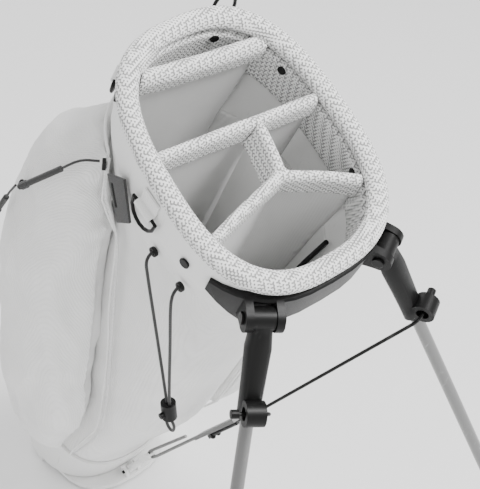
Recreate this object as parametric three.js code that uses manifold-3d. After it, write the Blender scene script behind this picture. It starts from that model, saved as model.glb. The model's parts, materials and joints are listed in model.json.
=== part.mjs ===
// Golf stand bag on its two legs: a soft club tube with a padded five-way top, a moulded leg bracket,
// two folding legs, a push rod with two spring wires and a hinged front half of the base.
//
// Bag frame: X to the right, Y to the back, Z up along the bag, origin under the middle of the base.
// The whole group is then leaned forward and moved so that its box stands on Z = 0, centred on the origin.
import * as THREE from 'three'
import { mergeVertices } from 'three/addons/utils/BufferGeometryUtils.js'
import Module from 'manifold-3d'

const wasm = await Module()
wasm.setup()

// ---------- driving dimensions, millimetres and degrees ----------
const leanAngle = 28            // how far the bag leans forward on its legs
const gap = 0.3                 // clearance between touching pieces
const rimHeight = 855           // middle of the rim above the base
const rimHalfWidth = 107        // to the middle of the padded roll
const rimHalfDepth = 139
const rimExponent = 2.7         // squareness of the rim's oval
const rimRise = 0.13            // how much the rim rises for each millimetre towards the back
const rollRadius = 11
const collarWall = 5
const collarHeight = 112
const bodyExponent = 2.4
const shellWall = 3
const bootTop = 118
const bootWall = 4
const legAngle = 40             // between a leg and the bag when deployed
const legSplay = 30             // how far each leg's pivot axis is turned outwards
const pivotX = 80
const pivotY = -144
const pivotZ = rimHeight - 46
const lugDown = 94              // wire lug, measured along the leg from the pivot
const lugOut = 16               // and outwards from the leg's axis
const lugHole = 7.1             // wide, so that the wire's bent end can swing in it
const wireRadius = 2
const tubeRadius = 7
const footRadius = 13
const plateHinge = { y: 29, z: 6 }
const plateThickness = 6
const soleThickness = 3
const plateFront = 121          // length of the foot plate ahead of its hinge
const pinReach = 113            // push rod pin ahead of the plate's hinge
const pinLift = 10              // and above it
const yokeTop = { y: -155, z: 467 }
const yokeLength = 132
const ringWire = 2

const radians = THREE.MathUtils.degToRad
const lean = radians(leanAngle)
const psi = radians(legAngle)
const splay = radians(legSplay)

// ---------- materials ----------
const finish = (color, roughness, metalness) => new THREE.MeshStandardMaterial({ color, roughness, metalness })
const materials = {
  white_fabric: finish(0xe6e6e4, 0.85, 0),
  mesh_knit: finish(0xe9e9e8, 0.95, 0),
  lining: finish(0xc9c9c9, 0.9, 0),
  white_moulded: finish(0xe3e3e1, 0.55, 0),
  black_plastic: finish(0x1c1d1f, 0.42, 0),
  black_webbing: finish(0x141415, 0.85, 0),
  black_metal: finish(0x19191a, 0.35, 0.6),
  grey_tube: finish(0x6d7073, 0.32, 0.85),
  grey_bar: finish(0x606264, 0.4, 0.7),
  rubber: finish(0x161616, 0.9, 0),
  black_cord: finish(0x101011, 0.8, 0),
  zipper: finish(0xdcdcda, 0.6, 0)
}

// ---------- solids ----------
const v3 = (x, y, z) => new THREE.Vector3(x, y, z)

// Six times the volume inside a closed surface, negative when its faces point inwards.
const signedVolume = (points, faces) => {
  let total = 0
  for (let i = 0; i < faces.length; i += 3) {
    const [a, b, c] = [points[faces[i]], points[faces[i + 1]], points[faces[i + 2]]]
    total += a.dot(b.clone().cross(c))
  }
  return total
}

const solidFrom = (points, faces) => {
  const geometry = new THREE.BufferGeometry()
  geometry.setAttribute('position', new THREE.Float32BufferAttribute(points.flatMap((p) => [p.x, p.y, p.z]), 3))
  geometry.setIndex(signedVolume(points, faces) < 0 ? faces.reverse() : faces)
  return geometry
}

const weld = (geometry) => {
  const bare = geometry.clone()
  bare.deleteAttribute('normal')
  bare.deleteAttribute('uv')
  return mergeVertices(bare, 1e-4)
}

const toManifold = (geometry) => {
  const bare = weld(geometry)
  const vertProperties = new Float32Array(bare.attributes.position.array)
  const triVerts = new Uint32Array(bare.index.array)
  return new wasm.Manifold(new wasm.Mesh({ numProp: 3, vertProperties, triVerts }))
}

// Vertices that a cut leaves almost on each other become one, and triangles that vanish are dropped.
const tiny = 0.02
const fromManifold = (solid) => {
  const mesh = solid.getMesh()
  const points = []
  const kept = []
  for (let i = 0; i < mesh.vertProperties.length; i += 3) {
    const p = v3(...mesh.vertProperties.slice(i, i + 3))
    let same = kept.findIndex((q) => q.distanceTo(p) < tiny)
    if (same < 0) same = kept.push(p) - 1
    points.push(same)
  }
  const faces = []
  for (let i = 0; i < mesh.triVerts.length; i += 3) {
    const [a, b, c] = Array.from(mesh.triVerts.slice(i, i + 3), (v) => points[v])
    if (a !== b && b !== c && c !== a) faces.push(a, b, c)
  }
  return solidFrom(kept, faces)
}

const join = (...parts) => fromManifold(parts.map(toManifold).reduce((a, b) => a.add(b)))
const cut = (body, ...tools) => fromManifold(tools.map(toManifold).reduce((a, b) => a.subtract(b), toManifold(body)))

// Walls between consecutive rings of the same number of points, counter-clockwise seen from the last ring.
const ringWalls = (count, ringTotal, closed) => {
  const faces = []
  const last = closed ? ringTotal : ringTotal - 1
  for (let r = 0; r < last; r++) {
    const below = r * count
    const above = ((r + 1) % ringTotal) * count
    for (let i = 0; i < count; i++) {
      const j = (i + 1) % count
      faces.push(below + i, below + j, above + j, below + i, above + j, above + i)
    }
  }
  return faces
}

// A sleeve: outer rings upwards, then inner rings downwards, closing on the first ring.
const sleeve = (rings) => solidFrom(rings.flat(), ringWalls(rings[0].length, rings.length, true))

// A solid through a stack of rings with a fan at each end.
const stack = (rings) => {
  const count = rings[0].length
  const points = rings.flat()
  const faces = ringWalls(count, rings.length, false)
  const middle = (ring) => ring.reduce((sum, p) => sum.add(p), v3(0, 0, 0)).divideScalar(count)
  const bottom = points.push(middle(rings[0])) - 1
  const top = points.push(middle(rings.at(-1))) - 1
  const lastRing = (rings.length - 1) * count
  for (let i = 0; i < count; i++) {
    const j = (i + 1) % count
    faces.push(bottom, j, i, top, lastRing + i, lastRing + j)
  }
  return solidFrom(points, faces)
}

// A curved slab through a stack of rings, each an outer row and then an inner row that runs back beside it.
const slabStack = (rings) => {
  const count = rings[0].length
  const faces = ringWalls(count, rings.length, false)
  const lastRing = (rings.length - 1) * count
  for (let i = 0; i < count / 2 - 1; i++) {
    const across = count - 1 - i
    faces.push(i, across - 1, i + 1, i, across, across - 1)
    faces.push(lastRing + i, lastRing + i + 1, lastRing + across - 1, lastRing + i, lastRing + across - 1,
      lastRing + across)
  }
  return solidFrom(rings.flat(), faces)
}

// A round tube bent along a closed flat path; normal is the path's plane.
const hoop = (path, normal, radius, sides) => {
  const rings = path.map((p, i) => {
    const ahead = path[(i + 1) % path.length].clone().sub(path.at(i - 1)).normalize()
    const out = ahead.clone().cross(normal).normalize()
    return Array.from({ length: sides }, (_, k) => {
      const turn = (2 * Math.PI * k) / sides
      return p.clone().addScaledVector(out, radius * Math.cos(turn)).addScaledVector(normal, -radius * Math.sin(turn))
    })
  })
  return solidFrom(rings.flat(), ringWalls(sides, rings.length, true))
}

const circleShape = (radius, sides) => {
  const points = Array.from({ length: sides }, (_, k) => {
    const turn = (2 * Math.PI * k) / sides
    return new THREE.Vector2(radius * Math.cos(turn), radius * Math.sin(turn))
  })
  return new THREE.Shape(points)
}

// A round cord or wire through points, swept by an extrusion.
const sweep = (points, radius, sides, steps) => {
  const extrudePath = new THREE.CatmullRomCurve3(points, false, 'centripetal')
  return new THREE.ExtrudeGeometry(circleShape(radius, sides), { steps, bevelEnabled: false, extrudePath })
}

// A frame with its own X, Y and Z directions at a point.
const basisAt = (origin, x, y, z) => new THREE.Matrix4().makeBasis(x, y, z).setPosition(origin)

const placed = (geometry, matrix) => geometry.clone().applyMatrix4(matrix)

// A cylinder from one point to another.
const rod = (from, to, radius, sides = 16) => {
  const along = to.clone().sub(from)
  const geometry = new THREE.CylinderGeometry(radius, radius, along.length(), sides)
  const turn = new THREE.Quaternion().setFromUnitVectors(v3(0, 1, 0), along.clone().normalize())
  const middle = from.clone().add(to).multiplyScalar(0.5)
  return placed(geometry, new THREE.Matrix4().compose(middle, turn, v3(1, 1, 1)))
}

const slab = (width, depth, height, x, y, z) => new THREE.BoxGeometry(width, depth, height).translate(x, y, z)

// A flat outline pushed to a thickness, centred on its own plane.
const plateOf = (outline, thickness) => {
  const shape = new THREE.Shape(outline.map(([x, y]) => new THREE.Vector2(x, y)))
  const geometry = new THREE.ExtrudeGeometry(shape, { depth: thickness, bevelEnabled: false, curveSegments: 6 })
  return geometry.translate(0, 0, -thickness / 2)
}

// ---------- sections of the bag ----------
const power = (value, exponent) => Math.sign(value) * Math.abs(value) ** exponent

// A point of a squared oval, slightly wider at the front; turn 0 is right and a quarter turn is the back.
const ovalPoint = (halfWidth, halfDepth, middleY, exponent, turn) => {
  const across = power(Math.cos(turn), 2 / exponent)
  const back = power(Math.sin(turn), 2 / exponent)
  return { x: halfWidth * across * (1 - 0.04 * back), y: middleY + halfDepth * back }
}

const fullTurn = (count) => Array.from({ length: count }, (_, i) => (2 * Math.PI * i) / count)

const rimPlane = (y) => rimHeight + rimRise * y

const rimRing = (inset, drop, count) => fullTurn(count).map((turn) => {
  const p = ovalPoint(rimHalfWidth - inset, rimHalfDepth - inset, 0, rimExponent, turn)
  return v3(p.x, p.y, rimPlane(p.y) - drop)
})

// The soft tube narrows under the collar, and its front runs back towards the base at the bottom.
const bodyStations = [
  { z: 20, halfWidth: 84, front: -50, back: 112 },
  { z: 150, halfWidth: 88, front: -65, back: 118 },
  { z: 330, halfWidth: 89, front: -108, back: 121 },
  { z: 640, halfWidth: 92, front: -116, back: 124 },
  { z: 735, halfWidth: 99, front: -128, back: 130 }
]

const mix = (a, b, t) => a + (b - a) * t

const bodyAt = (z) => {
  let i = bodyStations.findIndex((station) => station.z >= z)
  if (i < 0) i = bodyStations.length - 1
  i = Math.max(i, 1)
  const low = bodyStations[i - 1]
  const high = bodyStations[i]
  const t = (z - low.z) / (high.z - low.z)
  const front = mix(low.front, high.front, t)
  const back = mix(low.back, high.back, t)
  return { halfWidth: mix(low.halfWidth, high.halfWidth, t), halfDepth: (back - front) / 2, middleY: (back + front) / 2 }
}

const bodyPoint = (z, turn, grow) => {
  const b = bodyAt(z)
  return ovalPoint(b.halfWidth + grow, b.halfDepth + grow, b.middleY, bodyExponent, turn)
}

// The outside of tube and collar together, which the pockets lie on.
const collarBottom = rimHeight - collarHeight
const outsidePoint = (z, turn, grow) => {
  if (z <= collarBottom - 60) return bodyPoint(z, turn, grow)
  const low = bodyPoint(z, turn, grow)
  const t = Math.min(1, (z - collarBottom + 60) / 50)
  const outset = 5 + grow
  const high = ovalPoint(rimHalfWidth + outset, rimHalfDepth + outset, 0, rimExponent, turn)
  return { x: mix(low.x, high.x, t), y: mix(low.y, high.y, t) }
}

// ---------- leg geometry ----------
const up = v3(0, 0, 1)
const legFrame = (side) => {
  const axis = v3(Math.cos(splay), side * Math.sin(splay), 0)
  const normal = v3(side * Math.sin(splay), -Math.cos(splay), 0)
  const down = normal.clone().multiplyScalar(Math.sin(psi)).addScaledVector(up, -Math.cos(psi))
  const out = normal.clone().multiplyScalar(Math.cos(psi)).addScaledVector(up, Math.sin(psi))
  const pivot = v3(side * pivotX, pivotY, pivotZ)
  const lug = pivot.clone().addScaledVector(down, lugDown).addScaledVector(out, lugOut)
  return { side, axis, normal, down, out, pivot, lug }
}
const legFrames = [legFrame(-1), legFrame(1)]
const sideName = (side) => (side < 0 ? 'left' : 'right')

// Height above the ground plane, which is level once the bag leans and touches the sole of the foot plate.
const worldUp = v3(0, Math.sin(lean), Math.cos(lean))
const hingePoint = v3(0, plateHinge.y, plateHinge.z)
const soleDrop = plateThickness / 2 + gap + soleThickness
const groundLevel = worldUp.dot(hingePoint) - soleDrop
const heightOf = (p) => worldUp.dot(p) - groundLevel

// ---------- the group ----------
const bag = new THREE.Group()
const addTo = (parent, name, geometry, material) => {
  const mesh = new THREE.Mesh(geometry, material)
  mesh.name = name
  parent.add(mesh)
  return mesh
}
const add = (name, geometry, material) => addTo(bag, name, geometry, material)

// Club tube: a long fabric sleeve, open at both ends.
const ovalCount = 40
const floorAt = (y) => 12 + (116 - y) * 0.27
const bodyRing = (z, grow) => fullTurn(ovalCount).map((turn) => {
  const p = bodyPoint(z, turn, grow)
  return v3(p.x, p.y, z)
})
const onFloor = (ring, lift) => ring.map((p) => v3(p.x, p.y, floorAt(p.y) + lift))
const shellLevels = [150, 330, 640, collarBottom - gap]
const tubTop = bootTop + 5
const shellOuter = [onFloor(bodyRing(60, -bootWall - gap), gap)]
  .concat([tubTop, ...shellLevels].map((z) => bodyRing(z, -bootWall - gap)))
const shellInner = shellOuter.map((ring, i) => {
  const grow = -bootWall - gap - shellWall
  if (i === 0) return onFloor(bodyRing(60, grow), gap)
  return bodyRing(ring[0].z, grow)
})
add('bag_shell', sleeve(shellOuter.concat(shellInner.reverse())), materials.white_fabric)

// Top collar: moulded band that the roll, the dividers and the leg bracket are fixed to.
const collarRing = (inset, drop) => rimRing(inset, drop, ovalCount)
const lowCollar = (grow) => fullTurn(ovalCount).map((turn) => {
  const p = bodyPoint(collarBottom, turn, grow)
  return v3(p.x, p.y, collarBottom)
})
const collarOutset = 4.5
const collarInset = collarWall - collarOutset
const collarTaper = 60
const underRoll = rollRadius + gap
add('top_collar', sleeve([
  lowCollar(1), collarRing(-collarOutset, collarTaper), collarRing(-collarOutset, underRoll),
  collarRing(collarInset, underRoll), collarRing(collarInset, collarTaper), lowCollar(-7.5)
]), materials.white_moulded)

// Padding on the inside of the collar, level with the inner edge of the roll.
add('cuff_padding', sleeve([
  collarRing(collarInset + gap, collarTaper - 2), collarRing(collarInset + gap, underRoll),
  collarRing(rollRadius, underRoll), collarRing(rollRadius, collarTaper - 2)
]), materials.mesh_knit)

// Padded roll around the mouth.
const rollSides = 10
const rollRings = Array.from({ length: rollSides }, (_, k) => {
  const turn = (2 * Math.PI * k) / rollSides
  return rimRing(-rollRadius * Math.cos(turn), -rollRadius * Math.sin(turn), ovalCount)
})
add('rim_pad', sleeve(rollRings), materials.mesh_knit)

// ---------- dividers ----------
const intersect = (a, b) => fromManifold(toManifold(a).intersect(toManifold(b)))

// A padded bar with a round top, following a plan line; its top lies a little above the rim plane.
const barTop = 3
const barDepth = 30
const barSolid = (line, width, lowWidth, grow = 0, sunk = 0) => {
  const half = width / 2 + grow
  const low = lowWidth / 2 + grow
  const outline = [[-low, -barDepth], [low, -barDepth], [half, -half], [0.6 * half, -0.2 * half], [0, 0],
    [-0.6 * half, -0.2 * half], [-half, -half]]
  const rings = line.map(([x, y], i) => {
    const before = line[Math.max(i - 1, 0)]
    const after = line[Math.min(i + 1, line.length - 1)]
    const along = v3(after[0] - before[0], after[1] - before[1], 0).normalize()
    const across = v3(-along.y, along.x, 0)
    return outline.map(([s, h]) => {
      const p = v3(x, y, 0).addScaledVector(across, s)
      p.z = rimPlane(p.y) + barTop - sunk + h
      return p
    })
  })
  return stack(rings)
}
const mouthPrism = stack([rimRing(rollRadius + gap, 50, ovalCount), rimRing(rollRadius + gap, -20, ovalCount)])

// Plan lines, each given past the wall at its outer ends; the wall trims them.
const dividerLines = {
  back: [[-98, 119], [-66, 110], [-30, 104], [10, 99], [50, 95], [84, 91], [104, 87]],
  middle: [[-106, 31], [-40, 26], [30, 20], [106, 14]],
  stem: [[20, 20.5], [19, 5], [15, -20], [10, -40]],
  left: [[12, -38], [-45, -51], [-108, -68]],
  right: [[7, -37], [50, -58], [108, -93]]
}
const middleBar = barSolid(dividerLines.middle, 12, 12)
const middleClearance = barSolid(dividerLines.middle, 12, 12, gap)
const fork = join(barSolid(dividerLines.stem, 13, 30), barSolid(dividerLines.left, 12, 12, 0, 0.4),
  barSolid(dividerLines.right, 12, 12, 0, 0.8))
add('divider_back', intersect(barSolid(dividerLines.back, 18, 14), mouthPrism), materials.mesh_knit)
add('divider_middle', intersect(middleBar, mouthPrism), materials.mesh_knit)
add('divider_fork', intersect(cut(fork, middleClearance), mouthPrism), materials.mesh_knit)

// Cloth panels that hang under the bars and keep the clubs apart.
const panelThickness = 1.6
const panelBottom = 560
const panelGap = 1.2
const panelInside = stack([
  bodyRing(panelBottom - 10, -11), bodyRing(640, -11), bodyRing(collarBottom - 4, -11), rimRing(rollRadius + 3, 60, ovalCount),
  rimRing(rollRadius + 3, 20, ovalCount)
])
const panelSolid = (line) => {
  const rings = line.map(([x, y], i) => {
    const before = line[Math.max(i - 1, 0)]
    const after = line[Math.min(i + 1, line.length - 1)]
    const along = v3(after[0] - before[0], after[1] - before[1], 0).normalize()
    const across = v3(-along.y, along.x, 0)
    const corner = (s, low) => {
      const p = v3(x, y, 0).addScaledVector(across, s * panelThickness / 2)
      p.z = low ? panelBottom : rimPlane(p.y) + barTop - barDepth - panelGap
      return p
    }
    return [corner(-1, true), corner(1, true), corner(1, false), corner(-1, false)]
  })
  return stack(rings)
}
add('panel_back', intersect(panelSolid(dividerLines.back), panelInside), materials.lining)
add('panel_middle', intersect(panelSolid(dividerLines.middle), panelInside), materials.lining)
const forkLines = [[[19.6, 17.5], [19, 5], [15, -20], [10, -39]], dividerLines.left, dividerLines.right]
add('panel_fork', intersect(join(...forkLines.map(panelSolid)), panelInside), materials.lining)

// Stiffening rods inside the tube, from the boot to the collar.
const stayTurns = { stay_left: 232, stay_right: 308, stay_spine: 98 }
const stayInset = -13
for (const [name, degrees] of Object.entries(stayTurns)) {
  const turn = (degrees * Math.PI) / 180
  const points = [75, 150, 330, 640, collarBottom + 16].map((z) => {
    const p = bodyPoint(z, turn, stayInset)
    return v3(p.x, p.y, z)
  })
  add(name, sweep(points, 3, 8, 12), materials.black_metal)
}

// ---------- base ----------
// The boot is a tub whose underside is cut away at the front, so that the foot plate can swing up into it.
const bootRings = [0, 60, bootTop].map((z) => fullTurn(ovalCount).map((turn) => {
  const p = bodyPoint(Math.max(z, 20), turn, 0)
  return v3(p.x, p.y, z)
}))
const bootHollow = stack([
  onFloor(bodyRing(60, -bootWall), 0), bodyRing(tubTop, -bootWall)
])
const bootBlock = stack(bootRings)

// Everything that turns with the ground stays level: a group at the plate's hinge with the lean undone.
const level = new THREE.Group()
level.position.set(0, plateHinge.y, plateHinge.z)
level.rotation.x = -lean
bag.add(level)
level.updateMatrix()
const inBag = (geometry) => placed(geometry, level.matrix)

const knuckleHalf = 62
const knuckleRadius = 5
const hingePinRadius = 2.5
const hingePinHalf = 74
const wedgeReach = 240
const plateRoom = plateThickness / 2 + 1
const wedgeMiddle = slab(2 * knuckleHalf + 4, wedgeReach, wedgeReach, 0, -wedgeReach / 2, plateRoom - wedgeReach / 2)
const wedgeSides = slab(300, wedgeReach, wedgeReach, 0, -4 - wedgeReach / 2, plateRoom - wedgeReach / 2)
const groundCut = slab(300, wedgeReach, wedgeReach, 0, 0, -soleDrop + 0.6 - wedgeReach / 2)
const knuckleRoom = rod(v3(-knuckleHalf - 2, 0, 0), v3(knuckleHalf + 2, 0, 0), knuckleRadius + 2.5, 16)
const hingeBore = rod(v3(-hingePinHalf - 1, 0, 0), v3(hingePinHalf + 1, 0, 0), hingePinRadius + gap, 12)
const underCuts = [wedgeMiddle, wedgeSides, groundCut, knuckleRoom, hingeBore].map(inBag)
add('boot', cut(bootBlock, bootHollow, ...underCuts), materials.white_moulded)

// Foot plate: the front half of the base, lying flat on the ground.
const plateHalf = 78
const plateOutline = [[-plateHalf, 0]]
for (let i = 0; i <= 12; i++) {
  const turn = Math.PI + (Math.PI * i) / 12
  const p = ovalPoint(plateHalf, plateFront - 30, -30, 2.6, turn)
  plateOutline.push([p.x, p.y])
}
plateOutline.push([plateHalf, 0])
const sideRelief = [-1, 1].map((side) => slab(30, 20, 20, side * (knuckleHalf + 15 - gap), -1, 0))
const pinAxis = v3(0, -pinReach, pinLift)
const pinLugs = [-1, 1].map((side) => slab(5, 12, 16, side * 10, pinAxis.y, 8))
const plateBody = join(plateOf(plateOutline, plateThickness),
  rod(v3(-knuckleHalf, 0, 0), v3(knuckleHalf, 0, 0), knuckleRadius, 16), ...pinLugs)
const plateBore = rod(v3(-100, 0, 0), v3(100, 0, 0), hingePinRadius + gap, 12)
const linkBore = rod(pinAxis.clone().setX(-30), pinAxis.clone().setX(30), 2.5 + gap, 12)
addTo(level, 'foot_plate', cut(plateBody, plateBore, linkBore, ...sideRelief), materials.white_moulded)
addTo(level, 'plate_hinge_pin', rod(v3(-hingePinHalf, 0, 0), v3(hingePinHalf, 0, 0), hingePinRadius, 12),
  materials.black_metal)
addTo(level, 'plate_pin', rod(pinAxis.clone().setX(-15), pinAxis.clone().setX(15), 2.5, 12), materials.black_metal)
const soleOutline = plateOutline.map(([x, y]) => [x * 0.94, Math.min(y * 0.96, -14)])
addTo(level, 'plate_sole', plateOf(soleOutline, soleThickness)
  .translate(0, 0, -(plateThickness + soleThickness) / 2 - gap), materials.rubber)

// ---------- push rod, yoke and spring wires ----------
const pinPoint = pinAxis.clone().applyMatrix4(level.matrix)
const yokePoint = v3(0, yokeTop.y, yokeTop.z)
const rodDown = pinPoint.clone().sub(yokePoint).normalize()
const rodOut = v3(0, rodDown.z, -rodDown.y)
const right = v3(1, 0, 0)
const rodPoint = (along, out = 0, x = 0) => yokePoint.clone().addScaledVector(rodDown, along)
  .addScaledVector(rodOut, out).setX(x)
const rodBasis = (along, out) => basisAt(rodPoint(along, out), right, rodOut, rodDown)
const rodLength = pinPoint.distanceTo(yokePoint)

const yokeStart = 4
const yokeThick = 5
const yokeBox = new THREE.BoxGeometry(17, yokeThick, yokeLength - yokeStart)
add('yoke_bar', placed(yokeBox, rodBasis((yokeStart + yokeLength) / 2, 0)), materials.grey_bar)
const wireLift = yokeThick / 2 + gap + wireRadius
const clampAlong = 86
const wireRoots = [-5, 5].map((x) => rod(rodPoint(4, wireLift, x), rodPoint(clampAlong, wireLift, x), wireRadius, 10))
const clampBase = placed(new THREE.BoxGeometry(17, 5, 10), rodBasis(clampAlong, yokeThick / 2 + gap + 2.5))
const clampBumps = [-5, 5].map((x) => placed(new THREE.SphereGeometry(4, 10, 6),
  basisAt(rodPoint(clampAlong + 0.4 * x, yokeThick / 2 + 4, x), right, rodOut, rodDown)))
add('yoke_clamp', join(clampBase, ...wireRoots, ...clampBumps), materials.black_metal)

// Hairpin loop below the bar: down one side, round the end and a short way back up on the bag's side.
const loopEnd = 322
const loopBack = 172
const loopPoints = [
  rodPoint(yokeLength + gap), rodPoint(170), rodPoint(230), rodPoint(loopEnd - 22, 0.5), rodPoint(loopEnd - 4, -1.5),
  rodPoint(loopEnd, -5), rodPoint(loopEnd - 6, -8.5), rodPoint(loopEnd - 40, -9), rodPoint(loopBack, -7)
]
add('push_loop', sweep(loopPoints, 2.2, 8, 44), materials.grey_bar)

// Link from the loop down to the foot plate's pin.
const linkHook = [rodPoint(loopEnd - 10, -4.3, -5), rodPoint(loopEnd - 10, -4.3, 5)]
const linkArms = [-1, 1].map((side) => placed(new THREE.BoxGeometry(3.4, 9, 34),
  rodBasis(loopEnd + 5, -4).multiply(new THREE.Matrix4().makeTranslation(side * 5.2, 0, 0))))
const linkLow = rod(rodPoint(loopEnd + 18, -3), pinPoint, 4, 12)
const linkCross = placed(new THREE.BoxGeometry(13.8, 9, 6), rodBasis(loopEnd + 19, -4))
const linkEye = rod(pinPoint.clone().setX(-6.5), pinPoint.clone().setX(6.5), 5.5, 14)
const linkBoreInBag = rod(pinPoint.clone().setX(-20), pinPoint.clone().setX(20), 2.5 + gap, 12)
const linkPin = rod(...linkHook, 1.9, 8)
add('push_link', cut(join(...linkArms, linkCross, linkPin, linkLow, linkEye), linkBoreInBag), materials.white_moulded)

// ---------- legs ----------
const barrelHalf = 11
const barrelRadius = 12
const pivotPinRadius = 4
const headLength = 106
const headSections = [
  { z: -4, x: 10.6, y: 9 }, { z: 14, x: 11.2, y: 11 }, { z: 30, x: 13, y: 11.6 }, { z: 62, x: 11.8, y: 10.6 },
  { z: 84, x: 11, y: 10.4 }, { z: headLength, x: 10.6, y: 10.6 }
]
const headRing = ({ z, x, y }) => fullTurn(16).map((turn) => {
  const p = ovalPoint(x, y, 0, 3, turn)
  return v3(p.x, p.y, z)
})
const tubeStart = 80
const alongX = (half, radius, y, z, sides) => rod(v3(-half, y, z), v3(half, y, z), radius, sides)
const headLocal = cut(
  join(stack(headSections.map(headRing)), alongX(barrelHalf, barrelRadius, 0, 0, 20),
    alongX(10, 13, lugOut, lugDown, 20)),
  alongX(20, pivotPinRadius + gap, 0, 0, 12),
  alongX(20, lugHole, lugOut, lugDown, 14),
  rod(v3(0, 0, tubeStart - gap), v3(0, 0, headLength + 10), tubeRadius + gap, 16)
)

for (const frame of legFrames) {
  const name = sideName(frame.side)
  const legMatrix = basisAt(frame.pivot, frame.axis, frame.out, frame.down)
  const pivotHeight = heightOf(frame.pivot)
  const dropRate = -worldUp.dot(frame.down)
  const footCentre = (pivotHeight - footRadius) / dropRate
  const tubeEnd = footCentre - 16
  add(`leg_head_${name}`, placed(headLocal, legMatrix), materials.black_plastic)

  const wall = 1.2
  const tubeRing = (radius, z) => fullTurn(14).map((turn) => v3(radius * Math.cos(turn), radius * Math.sin(turn), z))
  const tube = sleeve([
    tubeRing(tubeRadius, tubeStart), tubeRing(tubeRadius, tubeEnd),
    tubeRing(tubeRadius - wall, tubeEnd), tubeRing(tubeRadius - wall, tubeStart)
  ])
  add(`leg_tube_${name}`, placed(tube, legMatrix), materials.grey_tube)

  // Rubber foot: a socket around the tube's end over a round sole.
  const footProfile = [[0, tubeEnd + gap], [tubeRadius + gap, tubeEnd + gap], [tubeRadius + gap, tubeEnd - 26],
    [tubeRadius + 2.6, tubeEnd - 28], [tubeRadius + 3.4, tubeEnd - 8], [footRadius - 1, footCentre - 5]]
  for (let i = 0; i <= 6; i++) {
    const turn = (Math.PI / 2) * (i / 6)
    footProfile.push([footRadius * Math.cos(turn), footCentre + footRadius * Math.sin(turn)])
  }
  footProfile.at(-1)[0] = 0
  const footLathe = new THREE.LatheGeometry(footProfile.map(([r, h]) => new THREE.Vector2(r, h)), 16)
  const foot = footLathe.rotateX(Math.PI / 2)
  add(`leg_foot_${name}`, placed(foot, legMatrix), materials.rubber)

  // Spring wire: from the yoke up to the lug, then bent outwards through the lug's hole.
  const outward = frame.axis.clone().multiplyScalar(frame.side)
  const shoulder = frame.lug.clone().addScaledVector(outward, -17)
  const start = rodPoint(0, wireLift, frame.side * 5)
  const wireLine = shoulder.clone().sub(start).normalize()
  const wirePoints = [
    start, start.clone().addScaledVector(wireLine, 60), start.clone().lerp(shoulder, 0.6),
    shoulder.clone().addScaledVector(wireLine, -26), shoulder.clone().addScaledVector(wireLine, -6).addScaledVector(outward, 0.5),
    shoulder.clone().addScaledVector(outward, 5), frame.lug, frame.lug.clone().addScaledVector(outward, 15)
  ]
  add(`spring_wire_${name}`, sweep(wirePoints, wireRadius, 8, 40), materials.black_metal)
  const capFrom = frame.lug.clone().addScaledVector(outward, 15 + gap)
  add(`wire_cap_${name}`, rod(capFrom, capFrom.clone().addScaledVector(outward, 8), 4.6, 14), materials.black_plastic)
}

// ---------- leg bracket ----------
const bandThick = 7.5
const bandStations = 16
const bandFrom = Math.PI * (1 + 30 / 180)
const bandTo = Math.PI * (2 - 30 / 180)
const bandRings = Array.from({ length: bandStations + 1 }, (_, i) => {
  const t = i / bandStations
  const turn = mix(bandFrom, bandTo, t)
  const middle = 1 - Math.abs(2 * t - 1)
  const spread = Math.min(1, middle * 2.6)
  const topDrop = mix(27, 14, spread)
  const lowDrop = mix(46, 62, spread) - 10 * Math.max(0, middle - 0.55)
  const point = (outset, drop) => {
    const p = ovalPoint(rimHalfWidth + outset, rimHalfDepth + outset, 0, rimExponent, turn)
    return v3(p.x, p.y, rimPlane(p.y) - drop)
  }
  const inner = collarOutset + gap
  const outer = inner + mix(4, bandThick, spread)
  return [point(inner, topDrop), point(inner, lowDrop), point(outer - 2, lowDrop), point(outer, lowDrop - 2),
    point(outer, topDrop + 2), point(outer - 2, topDrop)]
})
const earHalf = barrelHalf + 0.5
const earThick = 8
const earOutline = [[24, 13.5]]
for (let i = 0; i <= 8; i++) {
  const turn = Math.PI / 2 + (Math.PI * i) / 8
  earOutline.push([14 * Math.cos(turn), 13.5 * Math.sin(turn)])
}
earOutline.push([24, -22])
const ears = legFrames.flatMap((frame) => {
  const inwards = frame.normal.clone().negate()
  return [-1, 1].map((end) => {
    const origin = frame.pivot.clone().addScaledVector(frame.axis, end * (earHalf + earThick / 2))
    return placed(plateOf(earOutline, earThick), basisAt(origin, inwards, up, frame.axis))
  })
})
const collarKeepOut = stack([rimRing(-collarOutset - gap, 130, ovalCount), rimRing(-collarOutset - gap, underRoll - 2,
  ovalCount)])
const barrelRooms = legFrames.map((frame) => {
  const from = frame.pivot.clone().addScaledVector(frame.axis, -earHalf)
  const to = frame.pivot.clone().addScaledVector(frame.axis, earHalf)
  return rod(from, to, barrelRadius + 2, 20)
})
const pivotBores = legFrames.map((frame) => {
  const from = frame.pivot.clone().addScaledVector(frame.axis, -40)
  const to = frame.pivot.clone().addScaledVector(frame.axis, 40)
  return rod(from, to, pivotPinRadius + gap, 12)
})
add('leg_bracket', cut(join(stack(bandRings), ...ears), collarKeepOut, ...barrelRooms, ...pivotBores),
  materials.black_plastic)

for (const frame of legFrames) {
  const reach = earHalf + earThick + gap
  const at = (distance) => frame.pivot.clone().addScaledVector(frame.axis, distance)
  const shaft = rod(at(-reach - 2), at(reach + 2), pivotPinRadius, 12)
  const heads = [-1, 1].map((end) => rod(at(end * reach), at(end * (reach + 2.5)), 6.5, 14))
  add(`leg_pin_${sideName(frame.side)}`, join(shaft, ...heads), materials.black_metal)
}

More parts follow.
